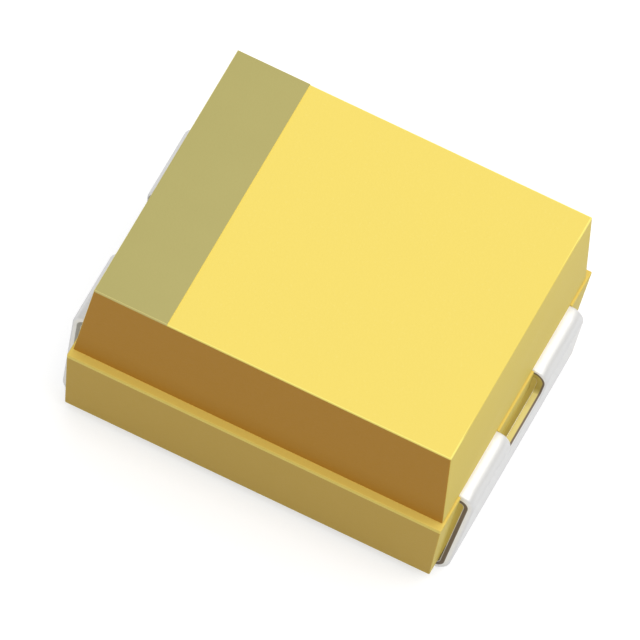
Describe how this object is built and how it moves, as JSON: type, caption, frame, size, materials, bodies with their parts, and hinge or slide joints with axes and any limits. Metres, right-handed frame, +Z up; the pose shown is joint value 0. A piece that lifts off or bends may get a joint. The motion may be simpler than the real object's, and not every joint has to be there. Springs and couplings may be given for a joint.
{
  "type": "tantalum capacitor",
  "caption": "Moulded surface-mount tantalum capacitor: a drafted epoxy case with a polarity band on top and sheet-metal leads folded under its ends for reflow soldering.",
  "frame": {"origin": "centre of the part's footprint, on the board plane that both feet rest on", "axes": "+X towards the cathode end, so the banded anode end is at -X; +Y across the part; +Z up from the board"},
  "size_m": [0.0034, 0.0028, 0.0018],
  "materials": {
    "moulded_epoxy": "fine satin moulded surface, yellow",
    "band_ink": "matt olive print",
    "tinned_lead": "bright satin tin plating, darker at the cut edges",
    "tantalum_wire": "drawn grey metal",
    "white_fluoropolymer": "waxy white",
    "sintered_tantalum": "porous, matt, dark blue-grey",
    "manganese_dioxide": "matt black-brown",
    "graphite": "matt dark grey",
    "silver_paint": "flat silver paint",
    "silver_adhesive": "cured silver-filled adhesive"
  },
  "bodies": {
    "root": {"case": "moulded_epoxy", "polarity_band": "band_ink", "anode_lead": "tinned_lead", "cathode_lead": "tinned_lead", "anode_wire": "tantalum_wire", "wire_washer": "white_fluoropolymer", "tantalum_pellet": "sintered_tantalum", "dioxide_coat": "manganese_dioxide", "graphite_coat": "graphite", "silver_coat": "silver_paint", "silver_adhesive": "silver_adhesive"}
  },
  "joints": []
}
